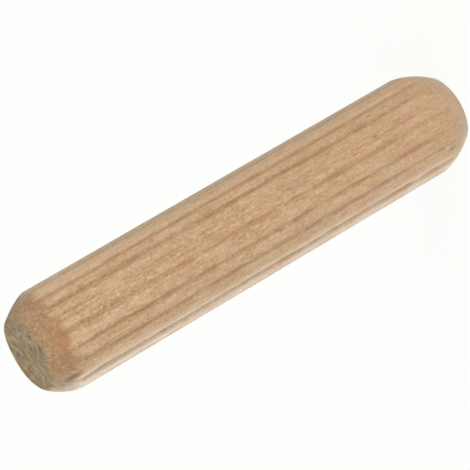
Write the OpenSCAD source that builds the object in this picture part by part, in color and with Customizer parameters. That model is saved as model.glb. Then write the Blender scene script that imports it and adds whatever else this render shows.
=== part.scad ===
// Fluted dowel pin of turned hardwood, with a chamfer at each end.
// The pin stands on its bottom end. +Z runs along its axis, and the origin is
// the middle of the bottom end face.

/* [Pin] */
// Length from end face to end face
pin_len = 40; // [25:1:80]
// Diameter over the lands between the flutes
pin_d = 8.2; // [6:0.1:12]

/* [Top end] */
// Length of the chamfer, measured along the pin
top_chamfer_len = 2.1; // [1:0.1:4]
// How far the chamfer comes in from the side of the pin
top_chamfer_in = 1.05; // [0.4:0.05:1.6]
// How far the middle of the chamfer swells out of a straight cone
top_swell = 0.08; // [0:0.01:0.12]

/* [Bottom end] */
// Length of the chamfer, measured along the pin
bottom_chamfer_len = 2.9; // [1:0.1:4]
// How far the chamfer comes in from the side of the pin
bottom_chamfer_in = 1.25; // [0.4:0.05:1.6]
// How far the middle of the chamfer swells out of a straight cone
bottom_swell = 0.16; // [0:0.01:0.2]

/* [Edges] */
// Rounding where each chamfer meets its end face
rim_round = 0.16; // [0.05:0.01:0.3]

/* [Flutes] */
// How many flutes run round the pin
flutes = 20; // [8:1:24]
// Width of a flute at the surface of the pin
flute_w = 0.44; // [0.3:0.02:0.6]
// Depth of a flute below the lands
flute_depth = 0.17; // [0.08:0.01:0.28]
// Angle of the first flute, from the front of the pin
flute_start = 4.5; // [0:0.5:20]
// How far the flutes crowd together on two opposite sides, in degrees
flute_drift = 3.3; // [0:0.1:4]
// Angle at which the crowding is strongest
drift_start = 18; // [0:1:90]
// How far every second flute is out of step, in degrees
flute_stagger = 0.9; // [0:0.1:1.5]

/* [Hidden] */

pin_r = pin_d / 2;
top_face_r = pin_r - top_chamfer_in;
bottom_face_r = pin_r - bottom_chamfer_in;
flute_pitch = 360 / flutes;

// A flute is a round channel: this is the circle through its two edges and its floor.
flute_r = (flute_w * flute_w / 4 + flute_depth * flute_depth) / (2 * flute_depth);
flute_axis_r = pin_r - flute_depth + flute_r;
// Extra length of a cutter past each end face
cut_over = 1;

chamfer_steps = 7;
rim_steps = 4;
pin_facets = 180;
flute_facets = 32;
beech = [0.77, 0.63, 0.48];

// Point a share t of the way from p to q
function between(p, q, t) = p + (q - p) * t;

// Curve that leaves p towards the corner and arrives at q, in steps from first to last
function bend(p, corner, q, first, last) =
    [for (i = [first : last]) let (t = i / last)
        between(between(p, corner, t), between(corner, q, t), t)];

// Half outline of one end as [radius, height over the end face], from the axis outwards:
// the flat face, the rounded rim, then the chamfer, which swells by swell at its middle
// but never past the side of the pin.
function end_outline(face_r, len, swell) =
    let (
        shoulder = [pin_r, len],
        slope = shoulder - [face_r, 0],
        run = norm(slope),
        out = [slope[1], -slope[0]] / run,
        rim = [face_r, 0] + slope * rim_round / run,
        swollen = between(rim, shoulder, 0.5) + out * 2 * swell,
        crown = [min(swollen[0], pin_r), swollen[1]]
    )
    concat(
        [[0, 0]],
        bend([face_r - rim_round, 0], [face_r, 0], rim, 0, rim_steps),
        bend(rim, crown, shoulder, 1, chamfer_steps)
    );

// The same outline turned over, for the top end at height top
function turned_over(points, top) =
    [for (i = [len(points) - 1 : -1 : 0]) [points[i][0], top - points[i][1]]];

// Where flute i lies, as an angle from the front of the pin
function even_angle(i) = flute_start + i * flute_pitch;
function flute_angle(i) =
    even_angle(i)
    - flute_drift * cos(2 * (even_angle(i) - drift_start))
    - (i % 2 == 0 ? 1 : -1) * flute_stagger;

module blank() {
    rotate_extrude($fn = pin_facets)
        polygon(concat(
            end_outline(bottom_face_r, bottom_chamfer_len, bottom_swell),
            turned_over(end_outline(top_face_r, top_chamfer_len, top_swell), pin_len)
        ));
}

module flute(angle) {
    rotate([0, 0, -angle])
        translate([0, -flute_axis_r, -cut_over])
            cylinder(h = pin_len + 2 * cut_over, r = flute_r, $fn = flute_facets);
}

module dowel_pin() {
    color(beech)
        difference() {
            blank();
            for (i = [0 : flutes - 1])
                flute(flute_angle(i));
        }
}

dowel_pin();
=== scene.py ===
"""Fluted beech dowel pin: the turned and fluted wood, a white floor, soft lights and the camera.
Lengths are metres, and the pin stands on the floor along +Z."""

import math
from typing import NamedTuple

import bpy
import numpy as np
from bpy.props import FloatProperty, FloatVectorProperty, IntProperty, PointerProperty
from mathutils import Color, Matrix, Vector


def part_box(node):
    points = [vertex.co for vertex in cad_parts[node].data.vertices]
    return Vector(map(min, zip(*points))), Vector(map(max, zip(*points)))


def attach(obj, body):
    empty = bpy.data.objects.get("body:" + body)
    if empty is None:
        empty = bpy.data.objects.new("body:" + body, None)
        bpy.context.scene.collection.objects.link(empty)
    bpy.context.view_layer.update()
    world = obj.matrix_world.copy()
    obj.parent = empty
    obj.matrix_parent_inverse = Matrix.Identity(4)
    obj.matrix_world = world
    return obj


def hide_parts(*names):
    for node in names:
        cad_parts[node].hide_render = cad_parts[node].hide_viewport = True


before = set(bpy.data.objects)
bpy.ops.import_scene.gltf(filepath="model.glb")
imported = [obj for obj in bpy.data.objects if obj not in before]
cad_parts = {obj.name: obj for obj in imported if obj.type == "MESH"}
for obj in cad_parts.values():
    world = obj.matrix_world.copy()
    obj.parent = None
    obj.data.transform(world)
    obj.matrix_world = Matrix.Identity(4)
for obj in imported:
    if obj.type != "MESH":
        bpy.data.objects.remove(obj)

bl_info = {
    "name": "Fluted dowel pin",
    "version": (1, 0, 0),
    "blender": (4, 5, 0),
    "location": "View3D > Sidebar > Dowel",
    "description": "Makes a fluted beech dowel pin with chamfered ends, and a plain stage for it",
    "category": "Add Mesh",
}

NODE = "dowel_pin"
MM = 0.001
FULL_TURN = 2.0 * math.pi
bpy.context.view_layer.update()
PIN_LOW, PIN_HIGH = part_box(NODE)

# How finely the skin is divided: rows up its outline, and columns round it.
COLUMNS_PER_FLUTE = 20
BOTTOM_FACE_ROWS = 9
BOTTOM_CHAMFER_ROWS = 20
SHANK_ROWS = 158
TOP_CHAMFER_ROWS = 18
TOP_FACE_ROWS = 24
RIM_ROWS = 3


# ---------------------------------------------------------------------------------------------
# Marks and grain
# ---------------------------------------------------------------------------------------------


class Quirk(NamedTuple):
    """What sets one flute apart: how many degrees it has slipped, and its depth as a share."""

    slip: float
    depth: float


class Wave(NamedTuple):
    """Noise along the flutes: its share, its number of cells from end to end, and its seed."""

    share: float
    cells: int
    seed: int


class Mark(NamedTuple):
    """A soft oval mark: its angle from the front towards -X in degrees, its height, half width
    and half length in millimetres, its strength, and how far it leans sideways for each unit up."""

    degrees: float
    height: float
    half_wide: float
    half_long: float
    strength: float = 1.0
    lean: float = 0.0


class Ring(NamedTuple):
    """A ring of a tiny curled knot: its angle from the front towards -X in degrees, its height
    and radius in millimetres, and its strength."""

    degrees: float
    height: float
    radius: float
    strength: float


class Layer(NamedTuple):
    """A layer of relief: its share, its cells across and along, and the seed it is drawn from."""

    share: float
    across: int
    along: int
    seed: int


class Pattern(NamedTuple):
    """A cloudy colour pattern: the width across the pin and the length along it of one blob, in
    millimetres, its detail and roughness, and its turn about the pin's axis in radians."""

    wide: float
    long: float
    detail: float
    roughness: float
    turn: float = 0.0


class Lamp(NamedTuple):
    """Where a lamp stands, seen from the middle of the pin: its azimuth from the front, -Y,
    towards +X and its elevation, in degrees, then its distance, its side and its tint."""

    azimuth: float
    elevation: float
    distance: float
    side: float
    tint: tuple


# Single flutes, by their number round the pin. The twin flute is two narrow lines. The depths
# of all others are drawn from the seed.
FLUTE_QUIRKS = {
    0: Quirk(0.0, 0.80),
    1: Quirk(0.9, 0.98),
    2: Quirk(0.5, 1.05),
    3: Quirk(0.3, 0.65),
    4: Quirk(1.7, 0.45),
    16: Quirk(-4.5, 1.25),
    17: Quirk(-1.1, 1.30),
    19: Quirk(1.8, 0.5),
}
NO_QUIRK = Quirk(0.0, 1.0)
TWIN_FLUTE = 19
TWIN_NARROWING = 1.6
DEPTH_SEED = 7

# Half the width of a flute's channel, and of the band of crowded columns over it, in flute widths.
CHANNEL_HALF = 0.625
CROWDED_HALF = 0.62

# How a flute meanders slowly, shakes, and is patchy in depth.
MEANDER_WAVES = [Wave(1.0, 9, 11)]
WOBBLE_WAVES = [Wave(1.0, 48, 12)]
PATCH_WAVES = [Wave(0.30, 26, 13), Wave(0.25, 64, 14)]

# How far from each chamfer the flutes grow shallow. How far a channel's colour fades out where
# the chamfer cuts through it.
RUN_OUT_BOTTOM = 3.0 * MM
RUN_OUT_TOP = 1.4 * MM
CHANNEL_FADE = 0.04 * MM

# How steeply a mark falls off from its middle.
MARK_FALL = 1.5

# Marks whose height counts up from the bottom end. An endless one is a strip from end to end.
# Painted highlight: two lands, one on either side of the front, painted paler where light falls
# brightest.
HIGHLIGHT_LANDS = [Mark(-52.0, 0.0, 0.42, math.inf), Mark(53.0, 0.0, 0.36, math.inf)]
# Painted shade: a narrow grey strip along the +X side, where the shade is deepest.
SHADE_STRIP = [Mark(-76.0, 0.0, 0.75, math.inf)]
# Painted light: a pale strip down the -X side and a patch on the land beside it stand in for bounce
# light from the floor and glancing reflection.
BOUNCE_LIGHT_SIDE = [Mark(84.0, 0.0, 2.6, math.inf), Mark(68.0, 1.0, 1.9, 1.7, 0.6)]
BOUNCE_LIGHT_LAND = [Mark(70.5, 4.0, 0.85, 7.0, 0.75)]
ORANGE_STREAKS = [
    Mark(1.0, 10.0, 0.22, 1.9, 0.70),
    Mark(-31.5, 13.3, 0.14, 1.0, 0.80),
    Mark(9.0, 27.1, 0.26, 0.5, 0.60),
    Mark(-3.0, 23.2, 0.32, 1.1, 0.40),
    Mark(-33.0, 30.0, 0.25, 1.6, 0.30),
]
LOW_SPECKS = [
    Mark(-13.7, 8.5, 0.10, 0.28, 0.80),
    Mark(44.0, 2.7, 0.14, 0.40, 0.60),
    Mark(37.5, 3.7, 0.10, 0.32, 0.45),
]

# Marks whose height counts up from the top end, so that most are below nought.
TOP_SPECKS = [
    Mark(30.0, -2.1, 0.10, 0.35, 0.45),
    Mark(29.5, -1.65, 0.12, 0.16, 0.40),
    Mark(34.5, -2.4, 0.10, 0.45, 0.40),
    Mark(48.0, -2.8, 0.09, 0.22, 0.35),
    Mark(52.5, -1.3, 0.16, 0.22, 0.40),
    Mark(50.3, -2.0, 0.14, 0.16, 0.40),
    Mark(26.0, -0.4, 0.25, 0.16, 0.45),
]
TEARS = [
    Mark(54.5, -1.40, 0.50, 0.92, 1.0, 0.62),
    Mark(68.0, -0.72, 0.20, 0.42, 0.7, 0.4),
    Mark(40.5, -2.05, 0.10, 0.42, 0.75, -0.1),
]
# Painted shade: two broad darker patches on the -X side of the top chamfer.
CHAMFER_SHADE_SPOTS = [Mark(47.0, -1.1, 2.0, 1.0, 0.6), Mark(72.0, -0.8, 1.6, 1.0)]
RUBS = [
    Mark(7.0, -1.35, 1.9, 0.80, 0.35),
    Mark(0.0, -1.60, 0.70, 0.50, 0.55),
    Mark(12.0, -1.35, 0.50, 0.45, 0.40),
    Mark(-2.0, -0.60, 0.60, 0.35, 0.30),
]
FRAYED_RIM = [Mark(72.0, 0.0, 1.4, 0.9, 0.4)]
KNOT_PIT = [Mark(-1.7, -5.5, 0.38, 0.60)]
KNOT_RINGS = [Ring(-3.5, -5.18, 0.20, 0.50), Ring(-1.5, -5.75, 0.34, 0.50)]

# Half the width of a knot ring's line, and the radii between which the knot turns pale.
RING_HALF = 0.13 * MM
HEART_RIM, HEART_MIDDLE = 0.18 * MM, 0.02 * MM

FIBRE_LAYERS = [Layer(0.6, 170, 14, 21), Layer(0.4, 400, 70, 22)]
TUFT_LAYERS = [Layer(0.3, 110, 60, 31), Layer(0.2, 260, 200, 32)]
RAGGED_LAYERS = [Layer(1.0, 46, 90, 33)]
PORE_LAYERS = [Layer(0.3, 46, 24, 41), Layer(0.2, 90, 60, 42)]

# Where the torn wood of the top chamfer begins and is full, counted up from its lower edge, and
# how far that edge is ragged. How far a chamfer and the shank round into each other. How far the
# pores of the top end face fade out at its rim.
TORN_FROM, TORN_FULL = -0.35 * MM, 0.85 * MM
TORN_RAGGED = 0.22 * MM
CHAMFER_BLEND = 0.03 * MM
FACE_FADE = 0.12 * MM

# The rusty side of the top end face: the way it lies, and where it begins and is full.
RUST_X, RUST_Y = -0.64, 0.77
RUST_FROM, RUST_FULL = 0.9 * MM, 2.4 * MM

TONE = Pattern(1.0, 2.8, 2.0, 0.5)
TINT = Pattern(1.15, 2.1, 2.0, 0.45, 0.5)
STREAK = Pattern(0.30, 6.0, 3.0, 0.6)
STRAND = Pattern(0.16, 1.20, 2.0, 0.6)
MOTTLE = Pattern(0.19, 0.25, 2.0, 0.6)
BREAKS = Pattern(0.8, 1.5, 2.0, 0.6)
TORN = Pattern(0.30, 0.40, 3.0, 0.65)
PORE = Pattern(0.48, 1.5, 3.0, 0.65)
RAYS = Pattern(0.55, 1.5, 2.0, 0.5, 0.6)
FLECK_WIDE, FLECK_LONG = 0.34, 1.0
BUMP_DEPTH = 0.05 * MM

# Heights between which the streaks, the nap and the flecks grow stronger.
STREAKS_GROW = (26.0 * MM, 36.0 * MM)
NAP_GROWS = (3.0 * MM, 37.0 * MM)
FLECKS_GROW = (15.0 * MM, 35.0 * MM)

KEY_LAMP = Lamp(35.0, 32.0, 0.45, 0.20, (1.0, 1.0, 1.0))
RIM_LAMP = Lamp(-136.0, 2.0, 0.35, 0.10, (0.90, 0.98, 1.10))
ROOM_FADE = 0.6
FLOOR_HALF = 3.0
FLOOR_WHITE = 0.85
FLOOR_GLOW = 1.03
GLOW_SHARE = 0.9
CAMERA_NEAR = 0.01


# ---------------------------------------------------------------------------------------------
# Settings
# ---------------------------------------------------------------------------------------------


def srgb(red, green, blue):
    """A colour given on the 0 to 255 screen scale, as linear light, by the usual sRGB curve."""
    screen = np.array([red, green, blue]) / 255.0
    linear = np.where(screen <= 0.04045, screen / 12.92, ((screen + 0.055) / 1.055) ** 2.4)
    return tuple(float(v) for v in linear)


def length(name, description, default, low=0.0):
    """A length in metres that shows with its unit in the panel."""
    return FloatProperty(
        name=name, description=description, default=default, unit="LENGTH", precision=5, min=low
    )


def angle(name, description, degrees):
    """An angle, given here in degrees and kept in radians."""
    return FloatProperty(
        name=name, description=description, default=math.radians(degrees), subtype="ANGLE"
    )


def share(name, description, default, top=1.0):
    """A plain number from nought to top."""
    return FloatProperty(name=name, description=description, default=default, min=0.0, max=top)


def power(name, description, default):
    """A lamp's power in watts."""
    return FloatProperty(name=name, description=description, default=default, unit="POWER", min=0.0)


def colour(name, description, red, green, blue):
    """A colour swatch, given here on the 0 to 255 screen scale."""
    return FloatVectorProperty(
        name=name, description=description, subtype="COLOR", size=3, min=0.0, max=1.0,
        default=srgb(red, green, blue),
    )


class PinSizes(bpy.types.PropertyGroup):
    """The turned blank: a straight shank with a chamfer at each end"""

    radius: length("Radius", "Radius over the lands", (PIN_HIGH.x - PIN_LOW.x) / 2)
    length: length("Length", "From end face to end face", PIN_HIGH.z - PIN_LOW.z)
    top_len: length("Top chamfer length", "Along the pin", 2.1 * MM)
    top_in: length("Top chamfer depth", "How far the top chamfer comes in", 1.05 * MM)
    top_swell: length("Top chamfer swell", "How far its middle stands out of a cone", 0.08 * MM)
    bottom_len: length("Bottom chamfer length", "Along the pin", 2.9 * MM)
    bottom_in: length("Bottom chamfer depth", "How far the bottom chamfer comes in", 1.25 * MM)
    bottom_swell: length("Bottom chamfer swell", "How far its middle stands out of a cone", 0.16 * MM)
    rim_round: length("Rim rounding", "Rounding where a chamfer meets its end face", 0.26 * MM)
    out_of_round: length("Out of round", "How far the top rim wanders from a circle", 0.07 * MM)


class FluteSizes(bpy.types.PropertyGroup):
    """The flutes pressed along the shank"""

    count: IntProperty(name="Flutes", description="How many run round the pin", default=20, min=3)
    width: length("Flute width", "At the surface of the pin", 0.52 * MM)
    depth: length("Flute depth", "Below the lands", 0.13 * MM)
    start: angle("First flute", "Angle of the first flute from the front of the pin", 4.5)
    drift: angle("Flute drift", "How far the flutes crowd together on two sides", 3.3)
    drift_start: angle("Drift start", "Angle at which the crowding is strongest", 18.0)
    stagger: angle("Flute stagger", "How far every second flute is out of step", 0.9)
    meander: length("Flute meander", "How far a flute wanders sideways on its way", 0.035 * MM)
    wobble: length("Flute wobble", "How far a flute shakes sideways from point to point", 0.022 * MM)
    unevenness: share("Depth unevenness", "Share by which flutes differ in depth", 0.25)
    twin_gap: length("Twin gap", "Between the two faint lines of the twin flute", 0.34 * MM)
    top_gain: share("Depth gained at the top", "Share by which flutes deepen near the top", 0.12)
    run_out: share("Run out", "Share by which flutes grow shallow close to the chamfers", 0.35)
    crown: length("Land crown", "How far a land falls away towards its flutes", 0.045 * MM)


class WoodSizes(bpy.types.PropertyGroup):
    """Marks of the grain and of wear that are part of the shape"""

    fibre: length("Fibre relief", "Depth of the fine ridges along the grain", 0.018 * MM)
    fuzz: length("Chamfer relief", "Depth of the torn fibres on the chamfers", 0.035 * MM)
    pores: length("End grain relief", "Depth of the pores in the top end face", 0.05 * MM)
    tear: length("Tear depth", "Depth of the torn spots on the top chamfer", 0.08 * MM)
    pit: length("Pit depth", "Depth of the small pin knot on the shank", 0.02 * MM)


class BeechColours(bpy.types.PropertyGroup):
    """The colours of the bare wood"""

    straw: colour("Straw", "The wood's usual colour", 202, 164, 121)
    amber: colour("Amber", "The deeper coloured wood", 189, 146, 97)
    cream: colour("Cream", "The lighter coloured wood", 212, 181, 146)
    rose: colour("Rose", "The pinker wood", 202, 159, 127)
    olive: colour("Olive", "The greener wood", 192, 163, 118)
    pale: colour("Pale", "The palest flecks", 224, 188, 150)
    brown: colour("Brown", "The darkest flecks and pores", 163, 124, 84)
    orange: colour("Orange", "The few orange streaks", 184, 127, 78)
    speck: colour("Speck", "The few dark specks", 107, 76, 49)
    # Painted shade: this tint darkens the floors of the flutes, where shade falls.
    flute: colour("Flute", "Tint that darkens the floor of a flute", 230, 223, 212)
    chamfer: colour("Top chamfer", "Tint that darkens the torn wood of the top chamfer", 223, 219, 217)
    # Painted light: the bottom chamfer's paler colour stands in for light that the floor's shadow takes
    # from it.
    cut: colour("Bottom chamfer", "The clean cut wood of the bottom chamfer", 208, 188, 162)
    burnish: colour("Burnish", "The patch rubbed orange on the top chamfer", 172, 119, 65)
    end_light: colour("End grain, light", "The lighter part of the end faces", 191, 167, 127)
    end_dark: colour("End grain, dark", "The darker part of the end faces", 118, 101, 69)
    # The tear colour is also mixed into the top chamfer as painted shade.
    tear: colour("Tear", "The torn spots, the stain round them and the knot's rings", 117, 84, 42)
    # Painted shade: the grey of the strip along the +X side.
    painted_strip_shade: colour("Weathered", "The narrow strip that has gone grey", 176, 164, 142)
    # Painted light: the pale of the bounce light and glancing reflection painted on the -X side.
    painted_bounce_light: colour("Bleached", "The side that light has bleached", 203, 190, 171)


class StageSettings(bpy.types.PropertyGroup):
    """Floor, lights and camera"""

    backdrop: colour("Backdrop", "What the camera sees behind the pin", 254, 255, 252)
    tilt: angle("Camera tilt", "How far the camera looks down", 24.94)
    roll: angle("Camera roll", "How far the camera is rolled from lying on its side", 30.36)
    distance: length("Camera distance", "From the camera to the middle of the pin", 241.08 * MM)
    aim_right: length("Aim right", "How far the pin lies right of the middle", 0.622 * MM, -1.0)
    aim_down: length("Aim down", "How far the pin lies below the middle", -0.505 * MM, -1.0)
    lens: FloatProperty(
        name="Lens", description="Focal length in millimetres", default=246.08, unit="CAMERA", min=1.0
    )
    room_front: share("Room light, front", "Strength of the light from the front of the room", 1.07, 2.0)
    room_back: share("Room light, back", "Strength of the light from the back of the room", 0.12, 2.0)
    room_slant: share("Room slant", "How far the bright side of the room turns to the left", 0.60)
    key: power("Key light", "Power of the front light", 0.50)
    rim: power("Rim light", "Power of the light behind", 1.18)


# ---------------------------------------------------------------------------------------------
# Shape
# ---------------------------------------------------------------------------------------------


def between(p, q, t):
    """The value or point a share t of the way from p to q."""
    return p + (q - p) * t


def soft_step(low, high, value):
    """Rises from 0 at low to 1 at high along the cubic 3t^2 - 2t^3."""
    t = np.clip((value - low) / (high - low), 0.0, 1.0)
    return t * t * (3.0 - 2.0 * t)


def soft_min(p, q, blend):
    """The smaller of p and q, rounded over blend where they cross: half of their sum and blend,
    less half the root of their difference squared plus blend squared."""
    return 0.5 * (p + q - np.sqrt((p - q) ** 2 + blend ** 2)) + 0.5 * blend


def lattice_noise(u, v, cells_u, cells_v, seed, wraps=True):
    """Smooth noise in -1 to 1. Random heights stand on a lattice of cells_u by cells_v over the
    unit square of u and v, and the value between them is blended with the soft step in each
    direction. It repeats in u when wraps is set."""
    heights = np.random.default_rng(seed).uniform(-1.0, 1.0, (cells_u + 1, cells_v + 2))
    if wraps:
        heights[cells_u] = heights[0]
    x = (u % 1.0) * cells_u if wraps else np.clip(u, 0.0, 1.0) * (cells_u - 1e-6)
    y = np.clip(v, 0.0, 1.0) * cells_v
    i = np.minimum(x.astype(int), cells_u - 1)
    j = y.astype(int)
    s = soft_step(0.0, 1.0, x - i)
    t = soft_step(0.0, 1.0, y - j)
    low = between(heights[i, j], heights[i + 1, j], s)
    high = between(heights[i, j + 1], heights[i + 1, j + 1], s)
    return between(low, high, t)


def relief_of(layers, u, v, wraps=True):
    """The sum of the layers' lattice noises, each times its layer's share."""
    return sum(
        layer.share * lattice_noise(u, v, layer.across, layer.along, layer.seed, wraps)
        for layer in layers
    )


def along_flutes(waves, count, lane, along):
    """The sum of the waves' noises, each times its wave's share. Lane runs round the pin from
    nought to one, and each of the count flutes has its own noise."""
    return sum(
        wave.share * lattice_noise(lane, along, count, wave.cells, wave.seed) for wave in waves
    )


def either_way(angles):
    """Angles brought into -pi to pi, less than half a turn either way."""
    return (angles + math.pi) % FULL_TURN - math.pi


def bend(p, corner, q, count):
    """Points of the curve that leaves p towards corner and arrives at q: the quadratic blend of
    the three, at count even steps that leave p itself out."""
    t = np.linspace(0.0, 1.0, count + 1)[1:, None]
    return between(between(p, corner, t), between(corner, q, t), t)


def end_outline(size, chamfer_len, chamfer_in, swell, face_rows, chamfer_rows):
    """Half outline of one end as rows of radius and height over the end face, from near the
    axis outwards: flat face, rounded rim, then the chamfer that swells by swell at its middle."""
    face_r = size.radius - chamfer_in
    corner = np.array([face_r, 0.0])
    shoulder = np.array([size.radius, chamfer_len])
    slope = (shoulder - corner) / np.hypot(*(shoulder - corner))
    outward = np.array([slope[1], -slope[0]])
    rim_start = np.array([face_r - size.rim_round, 0.0])
    rim_end = corner + slope * size.rim_round
    crown = between(rim_end, shoulder, 0.5) + outward * 2.0 * swell
    crown[0] = min(crown[0], size.radius)
    radii = np.linspace(0.0, rim_start[0], face_rows + 1)[1:]
    face = np.stack([radii, np.zeros(face_rows)], axis=1)
    return np.concatenate([
        face,
        bend(rim_start, corner, rim_end, RIM_ROWS),
        bend(rim_end, crown, shoulder, chamfer_rows),
    ])


def outline(size):
    """The whole half outline, bottom end to top end, as radius and height in metres."""
    bottom = end_outline(
        size, size.bottom_len, size.bottom_in, size.bottom_swell, BOTTOM_FACE_ROWS, BOTTOM_CHAMFER_ROWS
    )
    top = end_outline(
        size, size.top_len, size.top_in, size.top_swell, TOP_FACE_ROWS, TOP_CHAMFER_ROWS
    )[::-1]
    top = np.stack([top[:, 0], size.length - top[:, 1]], axis=1)
    heights = np.linspace(bottom[-1, 1], top[0, 1], SHANK_ROWS + 2)[1:-1]
    shank = np.stack([np.full(heights.size, size.radius), heights], axis=1)
    return np.concatenate([bottom, shank, top])


def flute_angles(flutes):
    """Angle of each flute from the front of the pin: even steps, less a two-lobed drift, with
    every second flute a little out of step and a few that slipped."""
    index = np.arange(flutes.count)
    even = flutes.start + index * FULL_TURN / flutes.count
    drift = flutes.drift * np.cos(2.0 * (even - flutes.drift_start))
    slip = np.radians([FLUTE_QUIRKS.get(i, NO_QUIRK).slip for i in index])
    return even - drift - np.where(index % 2 == 0, 1.0, -1.0) * flutes.stagger + slip


def column_angles(flutes, size):
    """Angles of the mesh's columns. Half of each flute's columns crowd into its channel, and the
    rest spread over the land beside it: a straight-line table from column number to angle."""
    centres = flute_angles(flutes)
    half = CROWDED_HALF * flutes.width / size.radius
    knots = np.stack([centres - half, centres + half], axis=1).ravel()
    knots = np.append(knots, knots[0] + FULL_TURN)
    numbers = np.arange(knots.size) * COLUMNS_PER_FLUTE / 2.0
    return np.interp(np.arange(flutes.count * COLUMNS_PER_FLUTE), numbers, knots)


def flute_relief(flutes, size, around, height):
    """How far each point of the shank lies below the lands, how deep in a flute it is from 0 to
    1.3, and how near to the crest of a land. A flute is a round-bottomed channel: its depth falls
    off with the squared cosine of the distance from its middle line, which meanders slowly and
    shakes a little. It is patchy in depth, deepens near the top and grows shallow close to the
    chamfers. A land is a low crown between two flutes. The twin flute has two narrow lines."""
    centres = flute_angles(flutes)[:, None, None]
    along = height / size.length
    drawn = np.random.default_rng(DEPTH_SEED).uniform(-1.0, 1.0, flutes.count)
    uneven = 1.0 + flutes.unevenness * drawn
    for number, quirk in FLUTE_QUIRKS.items():
        uneven[number % flutes.count] = quirk.depth

    lanes = (np.arange(flutes.count) + 0.5)[:, None, None] / flutes.count
    wander = flutes.meander * along_flutes(MEANDER_WAVES, flutes.count, lanes, along[None])
    wander = wander + flutes.wobble * along_flutes(WOBBLE_WAVES, flutes.count, lanes, along[None])
    lateral = either_way(around[None] - centres) * size.radius + wander
    away = np.abs(lateral)
    twin = TWIN_FLUTE % flutes.count
    away[twin] = TWIN_NARROWING * np.minimum(away[twin], np.abs(lateral[twin] + flutes.twin_gap))
    nearest = away.argmin(axis=0)
    distance = np.take_along_axis(away, nearest[None], axis=0)[0]

    patchy = 1.0 + along_flutes(PATCH_WAVES, flutes.count, nearest / flutes.count, along)
    patchy = patchy + flutes.top_gain * (soft_step(0.55, 0.90, along) - 0.3)
    from_bottom = height - size.bottom_len
    from_top = size.length - size.top_len - height
    run_out = 1.0 - flutes.run_out * (1.0 - soft_step(0.0, RUN_OUT_BOTTOM, from_bottom))
    run_out = run_out - flutes.run_out * (1.0 - soft_step(0.0, RUN_OUT_TOP, from_top))
    depth = uneven[nearest] * patchy * run_out

    half = CHANNEL_HALF * flutes.width
    channel = np.where(distance < half, np.cos(math.pi / 2.0 * distance / half) ** 2, 0.0)
    pitch = FULL_TURN * size.radius / flutes.count
    crown = flutes.crown * (1.0 - soft_step(0.0, pitch / 2.0, distance))
    crest = soft_step(0.30, 0.48, distance / pitch)
    return channel * depth * flutes.depth + crown, channel * np.clip(depth, 0.0, 1.3), crest


def spots(size, around, height, marks):
    """One layer per mark, stacked on a new first axis: a bell that has the mark's strength at its
    middle and falls off with the squares of the distances across and along the pin, each in half
    widths or half lengths. The height counts from the same end as the marks' own."""
    layers = []
    for mark in marks:
        up = height - mark.height * MM
        across = either_way(around - math.radians(mark.degrees)) * size.radius - mark.lean * up
        reach = (across / (mark.half_wide * MM)) ** 2 + (up / (mark.half_long * MM)) ** 2
        layers.append(mark.strength * np.exp(-MARK_FALL * reach))
    return np.stack(layers)


def make_mesh(name, rows, columns, points, masks):
    """A closed skin over a grid of rows by columns of points that wraps round, with one more
    point at each end of the axis. Each mask becomes a point attribute of its name."""
    number = np.arange(rows * columns).reshape(rows, columns)
    left = np.roll(number, -1, axis=1)
    quads = np.stack([left[:-1], number[:-1], number[1:], left[1:]], axis=-1).reshape(-1, 4)
    first = rows * columns
    last = first + 1
    bottom = np.stack([np.full(columns, first), number[0], left[0]], axis=-1)
    top = np.stack([left[-1], number[-1], np.full(columns, last)], axis=-1)
    corners = np.concatenate([quads.ravel(), bottom.ravel(), top.ravel()])
    sizes = np.concatenate([np.full(len(quads), 4), np.full(2 * columns, 3)])
    starts = np.concatenate([[0], np.cumsum(sizes)[:-1]])
    mesh = bpy.data.meshes.new(name)
    mesh.vertices.add(len(points))
    mesh.vertices.foreach_set("co", points.astype(np.float32).ravel())
    mesh.loops.add(len(corners))
    mesh.loops.foreach_set("vertex_index", corners.astype(np.int32))
    mesh.polygons.add(len(sizes))
    mesh.polygons.foreach_set("loop_start", starts.astype(np.int32))
    mesh.polygons.foreach_set("use_smooth", np.ones(len(sizes), bool))
    mesh.update(calc_edges=True)
    for mask_name, values in masks.items():
        layer = mesh.attributes.new(mask_name, "FLOAT", "POINT")
        layer.data.foreach_set("value", values.astype(np.float32))
    mesh.validate()
    return mesh


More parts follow.
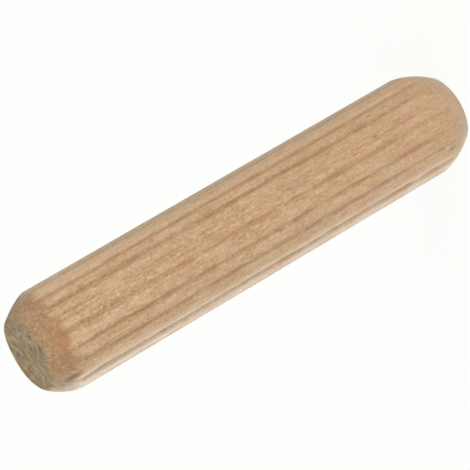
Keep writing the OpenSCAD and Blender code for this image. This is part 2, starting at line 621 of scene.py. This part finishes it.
def pin_surface(size, flutes, wood):
    """Points of the pin's skin as rows by columns, the two end points, and the masks that the
    finish reads. The first parameter runs round the pin and the second along its outline. The
    radius is the smaller of the turned outline and the fluted shank, softly joined, less the
    relief of grain and wear. Angles count from the front, -Y, towards -X."""
    profile = outline(size)
    column = column_angles(flutes, size)
    rows, columns = len(profile), column.size
    around = np.broadcast_to(column[None, :], (rows, columns))
    turned = np.broadcast_to(profile[:, :1], (rows, columns))
    height = np.broadcast_to(profile[:, 1:], (rows, columns))
    over_top = height - size.length
    lap = around / FULL_TURN
    along = height / size.length

    # The fluted shank, with the knot's pit and the fine ridges of the grain.
    relief, channel, crest = flute_relief(flutes, size, around, height)
    pit = spots(size, around, over_top, KNOT_PIT).max(axis=0)
    fibre = relief_of(FIBRE_LAYERS, lap, along)
    relief = relief * (1.0 - 0.8 * pit) + wood.fibre * (0.5 + 0.5 * fibre)
    fluted = size.radius - relief

    # The turned blank. Its top rim wanders with three and with five lobes, and the fuzz on its
    # chamfers is full a short way up them and stops at the end faces.
    top_share = soft_step(0.0, size.top_len, over_top + size.top_len)
    bottom_share = soft_step(0.0, size.bottom_len, size.bottom_len - height)
    chamfer = np.clip(np.maximum(top_share, bottom_share) * 6.0, 0.0, 1.0)
    lobes = 0.55 * np.cos(3.0 * around + 0.4) + 0.45 * np.cos(5.0 * around - 1.1)
    rim = size.out_of_round * (lobes - 1.0) * top_share
    tufts = 0.5 + relief_of(TUFT_LAYERS, lap, along)
    fade = 0.05 * size.radius
    on_side = soft_step(-fade, fade, turned - (size.radius - size.bottom_in))
    cut = turned + rim - wood.fuzz * tufts * chamfer * on_side

    # The two joined, with the torn spots.
    tear = spots(size, around, over_top, TEARS).max(axis=0)
    radius = soft_min(cut, fluted, CHAMFER_BLEND)
    radius = np.minimum(radius, np.minimum(turned, size.radius))
    radius = radius - wood.tear * tear * top_share ** 0.3 - wood.pit * pit

    # The points, with the pores of the top end face.
    x = -radius * np.sin(around)
    y = -radius * np.cos(around)
    on_face = soft_step(0.0, FACE_FADE, (size.radius - size.top_in - size.rim_round) - turned)
    top_half = (height > size.length / 2).astype(float)
    u = (x / size.radius + 1.0) / 2.0
    v = (y / size.radius + 1.0) / 2.0
    pores = 0.5 + relief_of(PORE_LAYERS, u, v, wraps=False)
    z = height - wood.pores * pores * on_face * top_half
    points = np.stack([x, y, z], axis=-1).reshape(-1, 3)
    ends = np.array([[0.0, 0.0, 0.0], [0.0, 0.0, size.length - wood.pores * 0.5]])

    # The masks.
    uncut = soft_step(-CHANNEL_FADE, CHANNEL_FADE, cut - fluted)
    ragged = TORN_RAGGED * relief_of(RAGGED_LAYERS, lap, along)
    torn = soft_step(TORN_FROM, TORN_FULL, over_top + size.top_len + ragged)
    # Painted highlight: the crests of the lands near the top, and two whole lands, are painted paler.
    painted_land_highlight = spots(size, around, height, HIGHLIGHT_LANDS).sum(axis=0)
    crest = crest * soft_step(0.60, 0.88, along) + painted_land_highlight
    low_specks = spots(size, around, height, LOW_SPECKS).max(axis=0)
    top_specks = spots(size, around, over_top, TOP_SPECKS).max(axis=0)
    painted_strip_shade = spots(size, around, height, SHADE_STRIP).max(axis=0)
    # Where the painted bounce light and glancing reflection lie.
    painted_bounce_light = spots(size, around, height, BOUNCE_LIGHT_SIDE).max(axis=0)
    painted_bounce_light = painted_bounce_light + spots(size, around, height, BOUNCE_LIGHT_LAND).max(axis=0)
    face_r = size.radius - np.where(top_half > 0.5, size.top_in, size.bottom_in)
    edge = (turned - face_r + 0.6 * np.minimum(height, -over_top)) / MM
    edge = edge - spots(size, around, over_top, FRAYED_RIM).max(axis=0)

    # Each mask goes with the value that it has at the two end points.
    masks = {
        "channel": (channel * uncut * (1.0 - pit), 0.0),
        "top_chamfer": (torn, 1.0),
        "bottom_chamfer": (bottom_share, 1.0),
        "edge": (edge, -3.0),
        # Painted highlight on the crests of the lands.
        "crest": (crest * (1.0 - 0.7 * chamfer), 0.0),
        "blush": (spots(size, around, height, ORANGE_STREAKS).max(axis=0), 0.0),
        "speck": (np.maximum(low_specks, top_specks), 0.0),
        "tear": (tear, 0.0),
        "burnish": (spots(size, around, over_top, RUBS).sum(axis=0), 0.0),
        "chamfer_shade": (spots(size, around, over_top, CHAMFER_SHADE_SPOTS).max(axis=0), 0.0),
        "rust": (soft_step(RUST_FROM, RUST_FULL, RUST_X * x + RUST_Y * y) * top_half, 0.0),
        "painted_strip_shade": (painted_strip_shade * (1.0 - 0.7 * top_share), 0.0),
        "painted_bounce_light": (painted_bounce_light * (1.0 - 0.9 * top_share) * (1.0 + 0.6 * bottom_share), 0.0),
    }
    masks = {key: np.append(values.ravel(), [end, end]) for key, (values, end) in masks.items()}
    return rows, columns, np.concatenate([points, ends]), masks


# ---------------------------------------------------------------------------------------------
# Finish
# ---------------------------------------------------------------------------------------------


class Finish:
    """A material's node tree, with short calls for the few kinds of node it is made of."""

    # Where a colour mix has its two colours and its result, since its sockets share their names.
    FIRST_COLOUR, SECOND_COLOUR, MIXED_COLOUR = 6, 7, 2

    def __init__(self, name):
        self.material = bpy.data.materials.new(name)
        self.material.use_nodes = True
        self.tree = self.material.node_tree
        self.tree.nodes.clear()

    def feed(self, socket, value):
        """Links a socket to an input, or sets the input. A colour gets full opacity."""
        if isinstance(value, bpy.types.NodeSocket):
            self.tree.links.new(value, socket)
        elif isinstance(value, Color):
            socket.default_value = (*value, 1.0)
        else:
            socket.default_value = value

    def node(self, kind, **inputs):
        """A node of that kind, with these inputs linked or set. A name with underscores is the
        input's name with spaces."""
        made = self.tree.nodes.new(kind)
        for key, value in inputs.items():
            self.feed(made.inputs[key.replace("_", " ")], value)
        return made

    def math(self, operation, first, second=0.0):
        """One arithmetic step."""
        made = self.tree.nodes.new("ShaderNodeMath")
        made.operation = operation
        self.feed(made.inputs[0], first)
        self.feed(made.inputs[1], second)
        return made.outputs[0]

    def times(self, first, second):
        """The product of two values."""
        return self.math("MULTIPLY", first, second)

    def plus(self, first, second):
        """The sum of two values."""
        return self.math("ADD", first, second)

    def span(self, value, start, end, at_start=0.0, at_end=1.0):
        """Runs evenly from at_start, where the value is start, to at_end, where it is end, and
        is level beyond them."""
        made = self.tree.nodes.new("ShaderNodeMapRange")
        for socket, given in zip(made.inputs, (value, start, end, at_start, at_end)):
            self.feed(socket, given)
        return made.outputs[0]

    def mix(self, share_of_second, first, second, blend="MIX"):
        """Two colours mixed."""
        made = self.tree.nodes.new("ShaderNodeMix")
        made.data_type = "RGBA"
        made.blend_type = blend
        self.feed(made.inputs["Factor"], share_of_second)
        self.feed(made.inputs[self.FIRST_COLOUR], first)
        self.feed(made.inputs[self.SECOND_COLOUR], second)
        return made.outputs[self.MIXED_COLOUR]

    def mask(self, name):
        """A point attribute of the mesh."""
        made = self.tree.nodes.new("ShaderNodeAttribute")
        made.attribute_name = name
        return made.outputs["Fac"]

    def place(self):
        """Where a point lies, in the object's own coordinates."""
        return self.tree.nodes.new("ShaderNodeTexCoord").outputs["Object"]

    def height(self, place):
        """How far up the pin a point lies."""
        return self.node("ShaderNodeSeparateXYZ", Vector=place).outputs["Z"]

    def distance(self, place, centre):
        """How far a point lies from the centre."""
        away = self.tree.nodes.new("ShaderNodeVectorMath")
        away.operation = "DISTANCE"
        self.feed(away.inputs[0], place)
        self.feed(away.inputs[1], centre)
        return away.outputs["Value"]

    def grain(self, place, wide, long, turn=0.0):
        """The place in units of one grain cell, wide across the pin and long along it, both in
        millimetres, and turned about the pin's axis."""
        across, up = 1.0 / (wide * MM), 1.0 / (long * MM)
        made = self.node(
            "ShaderNodeMapping", Vector=place, Rotation=(0.0, 0.0, turn), Scale=(across, across, up)
        )
        return made.outputs[0]

    def cloud(self, place, pattern):
        """Cloudy noise with the pattern's blobs."""
        cell = self.grain(place, pattern.wide, pattern.long, pattern.turn)
        made = self.node(
            "ShaderNodeTexNoise", Vector=cell, Scale=1.0, Detail=pattern.detail,
            Roughness=pattern.roughness,
        )
        return made.outputs["Fac"]

    def cells(self, place, wide, long):
        """Distance to the nearest of one scattered point per grain cell, and a random value for
        each point."""
        made = self.node("ShaderNodeTexVoronoi", Vector=self.grain(place, wide, long), Scale=1.0)
        return made.outputs["Distance"], made.outputs["Color"]


def beech(colours):
    """Bare turned beech. Amber, cream, rose and olive wood drift into the straw along the grain,
    under fine streaks, a nap of pale and brown strands, and dark ray flecks. The crests of the
    lands near the top and two whole lands carry a painted highlight, and the floors of the flutes
    are darkened with painted shade. The top chamfer is torn and dark, with painted shade on its -X
    side, tears and a rubbed patch. The bottom chamfer is painted paler, as light that the floor's
    shadow takes from it. The end faces are olive brown and pored. Pale bounce light and glancing
    reflection are painted along the -X side, and painted shade along a narrow grey strip on the +X
    side. A few orange streaks, dark specks and the rings of a tiny knot lie in it. Strands, mottle
    and pores also stand in the bump."""
    f = Finish("bare_beech")
    place = f.place()
    up = f.height(place)
    tone, tint, streak = f.cloud(place, TONE), f.cloud(place, TINT), f.cloud(place, STREAK)
    strand, mottle = f.cloud(place, STRAND), f.cloud(place, MOTTLE)
    torn, pore = f.cloud(place, TORN), f.cloud(place, PORE)
    nap = f.plus(f.times(strand, 0.45), f.times(mottle, 0.55))

    # The wood's own colours.
    wood = f.mix(f.span(tone, 0.50, 0.34, at_end=0.45), colours.straw, colours.amber)
    wood = f.mix(f.span(tone, 0.50, 0.66, at_end=0.42), wood, colours.cream)
    wood = f.mix(f.span(tint, 0.50, 0.62, at_end=0.55), wood, colours.rose)
    wood = f.mix(f.span(tint, 0.50, 0.38, at_end=0.50), wood, colours.olive)

    # Streaks, nap and ray flecks.
    streaky = f.span(up, *STREAKS_GROW, 0.15, 0.38)
    wood = f.mix(f.times(f.span(streak, 0.50, 0.30), streaky), wood, colours.brown)
    wood = f.mix(f.times(f.span(streak, 0.50, 0.70), streaky), wood, colours.pale)
    raised = f.span(up, *NAP_GROWS, 0.82, 1.22)
    wood = f.mix(f.times(f.span(nap, 0.51, 0.68), raised), wood, colours.pale)
    sunken = f.times(f.span(nap, 0.49, 0.32), raised)
    wood = f.mix(f.times(sunken, 0.75), wood, colours.brown)
    distance, chance = f.cells(place, FLECK_WIDE, FLECK_LONG)
    fleck = f.times(f.span(distance, 0.30, 0.12), f.span(chance, 0.62, 0.70))
    wood = f.mix(f.times(fleck, f.span(up, *FLECKS_GROW, 0.12, 0.35)), wood, colours.brown)

    # Painted highlight on the crests of the lands, painted shade on the floors of the flutes, and orange
    # streaks.
    wood = f.mix(f.times(f.mask("crest"), 0.35), wood, colours.pale)
    # Painted shade in the floors of the flutes, broken up along their length.
    broken = f.span(f.cloud(place, BREAKS), 0.35, 0.65, 0.72, 1.18)
    shade = f.times(f.span(f.mask("channel"), 0.1, 0.9), broken)
    wood = f.mix(shade, wood, colours.flute, "MULTIPLY")
    blush = f.times(f.mask("blush"), f.span(nap, 0.40, 0.55, 0.5, 1.0))
    wood = f.mix(blush, wood, colours.orange)

    # The two chamfers, and the patch rubbed on the top one.
    rough_cut = f.mix(1.0, wood, colours.chamfer, "MULTIPLY")
    rough_cut = f.mix(f.span(torn, 0.50, 0.34, at_end=0.90), rough_cut, colours.brown)
    # Painted shade on the -X side of the top chamfer.
    rough_cut = f.mix(f.times(f.mask("chamfer_shade"), 0.30), rough_cut, colours.tear)
    rough_cut = f.mix(f.span(torn, 0.52, 0.70, at_end=0.45), rough_cut, colours.rose)
    wood = f.mix(f.mask("top_chamfer"), wood, rough_cut)
    # Painted light: the bottom chamfer is painted paler, for light that the floor's shadow takes from
    # it.
    painted_bottom_light = f.math("POWER", f.mask("bottom_chamfer"), 2.0)
    wood = f.mix(f.times(painted_bottom_light, 0.55), wood, colours.cut)
    rub = f.times(f.mask("burnish"), f.span(torn, 0.34, 0.60, 0.35, 1.0))
    wood = f.mix(rub, wood, colours.burnish)

    # The end faces, whose edge is ragged.
    end = f.mix(f.span(pore, 0.32, 0.68), colours.end_dark, colours.end_light)
    rusty = f.times(f.span(f.cloud(place, RAYS), 0.46, 0.58, at_end=0.85), f.mask("rust"))
    end = f.mix(rusty, end, colours.brown)
    ragged = f.plus(f.mask("edge"), f.times(f.math("SUBTRACT", torn, 0.5), 1.1))
    wood = f.mix(f.span(ragged, 0.34, -0.30), wood, end)

    # Painted light: pale bounce light and glancing reflection along the -X side. Painted shade: the grey
    # strip along the +X side.
    bounce_share = f.times(f.mask("painted_bounce_light"), f.span(tone, 0.38, 0.62, 0.20, 0.75))
    bounce_share = f.times(bounce_share, f.span(nap, 0.38, 0.62, 0.65, 1.30))
    wood = f.mix(bounce_share, wood, colours.painted_bounce_light)
    # Painted shade along the +X side.
    wood = f.mix(f.times(f.mask("painted_strip_shade"), 0.50), wood, colours.painted_strip_shade)

    # Dark specks, torn spots and the knot.
    wood = f.mix(f.mask("speck"), wood, colours.speck)
    torn_open = f.plus(f.mask("tear"), f.times(torn, 0.6))
    wood = f.mix(f.span(torn_open, 0.64, 1.14, at_end=0.72), wood, colours.tear)
    for knot in KNOT_RINGS:
        turn = math.radians(knot.degrees)
        at_height = PIN_HIGH.z + knot.height * MM
        centre = (PIN_LOW.y * math.sin(turn), PIN_LOW.y * math.cos(turn), at_height)
        off = f.distance(place, centre)
        from_ring = f.math("ABSOLUTE", f.math("SUBTRACT", off, knot.radius * MM))
        ring = f.span(from_ring, RING_HALF, 0.0, at_end=knot.strength)
        ring = f.times(ring, f.span(torn, 0.56, 0.44, 0.25, 1.2))
        wood = f.mix(ring, wood, colours.tear)
        wood = f.mix(f.span(off, HEART_RIM, HEART_MIDDLE, at_end=0.35), wood, colours.pale)

    # Bump and gloss.
    grit = f.plus(f.times(strand, 0.4), f.times(mottle, 0.6))
    grit = f.plus(grit, f.times(pore, 0.6))
    bump = f.node("ShaderNodeBump", Strength=0.6, Distance=BUMP_DEPTH, Height=grit)
    dryness = f.plus(f.span(mottle, 0.3, 0.7, 0.42, 0.58), f.times(f.mask("top_chamfer"), 0.4))
    shader = f.node(
        "ShaderNodeBsdfPrincipled", Base_Color=wood, Roughness=dryness, Normal=bump.outputs[0],
        Specular_IOR_Level=0.55, Sheen_Weight=0.1, Sheen_Roughness=0.35,
    )
    f.node("ShaderNodeOutputMaterial", Surface=shader.outputs[0])
    return f.material


def seen_or_mirrored(tree):
    """1 for what the camera, a mirror image or a see-through path meets first, otherwise 0."""
    path = tree.nodes.new("ShaderNodeLightPath")
    total = path.outputs["Is Camera Ray"]
    for name in ("Is Glossy Ray", "Is Transmission Ray"):
        larger = tree.nodes.new("ShaderNodeMath")
        larger.operation = "MAXIMUM"
        tree.links.new(total, larger.inputs[0])
        tree.links.new(path.outputs[name], larger.inputs[1])
        total = larger.outputs[0]
    return total


def floor_finish(stage):
    """Matt white that takes the pin's shadow, and glows to the camera so that the rest of it is
    as white as the backdrop."""
    f = Finish("white_floor")
    matt = f.node("ShaderNodeBsdfDiffuse", Color=Color([FLOOR_WHITE] * 3))
    glow = f.node("ShaderNodeEmission", Color=stage.backdrop, Strength=FLOOR_GLOW)
    both = f.tree.nodes.new("ShaderNodeMixShader")
    f.feed(both.inputs["Fac"], f.times(seen_or_mirrored(f.tree), GLOW_SHARE))
    f.feed(both.inputs[1], matt.outputs[0])
    f.feed(both.inputs[2], glow.outputs[0])
    f.node("ShaderNodeOutputMaterial", Surface=both.outputs[0])
    return f.material


# ---------------------------------------------------------------------------------------------
# Operators
# ---------------------------------------------------------------------------------------------


def link(thing):
    """Puts an object into the scene, and gives it back."""
    bpy.context.scene.collection.objects.link(thing)
    return thing


class DOWEL_OT_pin(bpy.types.Operator):
    """Make the fluted beech pin in place of its plain solid"""

    bl_idname = "dowel.pin"
    bl_label = "Make the pin"

    def execute(self, context):
        scene = context.scene
        rows, columns, points, masks = pin_surface(scene.pin_sizes, scene.flute_sizes, scene.wood_sizes)
        mesh = make_mesh("fluted_pin", rows, columns, points, masks)
        mesh.materials.append(beech(scene.beech_colours))
        pin = link(bpy.data.objects.new("fluted_pin", mesh))
        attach(pin, "root")
        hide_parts(NODE)
        return {"FINISHED"}


def make_floor(stage):
    """A wide flat floor at the foot of the pin."""
    far = FLOOR_HALF
    mesh = bpy.data.meshes.new("floor")
    corners = [(-far, -far, 0.0), (far, -far, 0.0), (far, far, 0.0), (-far, far, 0.0)]
    mesh.from_pydata(corners, [], [(0, 1, 2, 3)])
    mesh.materials.append(floor_finish(stage))
    link(bpy.data.objects.new("floor", mesh))


def make_world(stage):
    """Soft light from all round, stronger from the front left than from the back right, and
    plain white to the camera. Its strength changes evenly with how far a direction points along
    the slant, and is level beyond the fade on either side."""
    world = bpy.data.worlds.new("room")
    world.use_nodes = True
    tree = world.node_tree
    background = tree.nodes["Background"]
    background.inputs["Color"].default_value = (1.0, 1.0, 1.0, 1.0)
    direction = tree.nodes.new("ShaderNodeTexCoord").outputs["Generated"]
    slant = tree.nodes.new("ShaderNodeVectorMath")
    slant.operation = "DOT_PRODUCT"
    slant.inputs[1].default_value = tuple(Vector((stage.room_slant, 1.0, 0.0)).normalized())
    tree.links.new(direction, slant.inputs[0])
    across = tree.nodes.new("ShaderNodeMapRange")
    across.inputs["From Min"].default_value = -ROOM_FADE
    across.inputs["From Max"].default_value = ROOM_FADE
    across.inputs["To Min"].default_value = stage.room_front
    across.inputs["To Max"].default_value = stage.room_back
    tree.links.new(slant.outputs["Value"], across.inputs["Value"])
    shown = tree.nodes.new("ShaderNodeMix")
    tree.links.new(seen_or_mirrored(tree), shown.inputs["Factor"])
    tree.links.new(across.outputs[0], shown.inputs["A"])
    shown.inputs["B"].default_value = 1.0
    tree.links.new(shown.outputs["Result"], background.inputs["Strength"])
    bpy.context.scene.world = world


def make_lamp(name, centre, lamp, watts):
    """A square soft light that shines at the centre from the lamp's place."""
    turn, rise = math.radians(lamp.azimuth), math.radians(lamp.elevation)
    level = math.cos(rise)
    towards = Vector((math.sin(turn) * level, -math.cos(turn) * level, math.sin(rise)))
    light = bpy.data.lights.new(name, "AREA")
    light.shape = "SQUARE"
    light.size = lamp.side
    light.energy = watts
    light.color = lamp.tint
    thing = link(bpy.data.objects.new(name, light))
    thing.location = centre + towards * lamp.distance
    thing.rotation_euler = towards.to_track_quat("Z", "Y").to_euler()


def make_camera(stage, centre):
    """A long lens in front of the pin that looks down by the tilt. The pin's axis lies across
    the view, rolled from level, with its top end low on the left."""
    top_end = Vector((0.0, math.sin(stage.tilt), math.cos(stage.tilt)))
    into = Vector((0.0, math.cos(stage.tilt), -math.sin(stage.tilt)))
    side = Vector((-1.0, 0.0, 0.0))
    right = side * math.sin(stage.roll) - top_end * math.cos(stage.roll)
    down = top_end * math.sin(stage.roll) + side * math.cos(stage.roll)
    data = bpy.data.cameras.new("camera")
    data.lens = stage.lens
    data.clip_start = CAMERA_NEAR
    camera = link(bpy.data.objects.new("camera", data))
    place = centre - into * stage.distance - right * stage.aim_right - down * stage.aim_down
    turned = Matrix((right, -down, -into)).transposed().to_4x4()
    camera.matrix_world = Matrix.Translation(place) @ turned
    bpy.context.scene.camera = camera


class DOWEL_OT_stage(bpy.types.Operator):
    """Make the floor, the lights and the camera"""

    bl_idname = "dowel.stage"
    bl_label = "Make the stage"

    def execute(self, context):
        stage = context.scene.stage_settings
        centre = (PIN_LOW + PIN_HIGH) / 2
        make_floor(stage)
        make_world(stage)
        make_lamp("key_light", centre, KEY_LAMP, stage.key)
        make_lamp("rim_light", centre, RIM_LAMP, stage.rim)
        make_camera(stage, centre)
        context.scene.view_settings.view_transform = "Standard"
        return {"FINISHED"}


class DOWEL_PT_panel(bpy.types.Panel):
    """The pin's sizes, colours and stage"""

    bl_idname = "DOWEL_PT_panel"
    bl_label = "Dowel pin"
    bl_space_type = "VIEW_3D"
    bl_region_type = "UI"
    bl_category = "Dowel"

    def draw(self, context):
        for name in SETTINGS:
            box = self.layout.box()
            box.label(text=name.replace("_", " ").capitalize())
            group = getattr(context.scene, name)
            for key in group.__annotations__:
                box.prop(group, key)
        self.layout.operator(DOWEL_OT_pin.bl_idname)
        self.layout.operator(DOWEL_OT_stage.bl_idname)


SETTINGS = {
    "pin_sizes": PinSizes,
    "flute_sizes": FluteSizes,
    "wood_sizes": WoodSizes,
    "beech_colours": BeechColours,
    "stage_settings": StageSettings,
}
CLASSES = (*SETTINGS.values(), DOWEL_OT_pin, DOWEL_OT_stage, DOWEL_PT_panel)


def register():
    """Registers the classes and puts the settings on the scene."""
    for one in CLASSES:
        bpy.utils.register_class(one)
    for name, group in SETTINGS.items():
        setattr(bpy.types.Scene, name, PointerProperty(type=group))


def unregister():
    """Takes the settings off the scene and the classes away."""
    for name in SETTINGS:
        delattr(bpy.types.Scene, name)
    for one in reversed(CLASSES):
        bpy.utils.unregister_class(one)


def main():
    """Makes everything in order."""
    register()
    bpy.ops.dowel.stage()
    bpy.ops.dowel.pin()


if __name__ == "__main__":
    main()
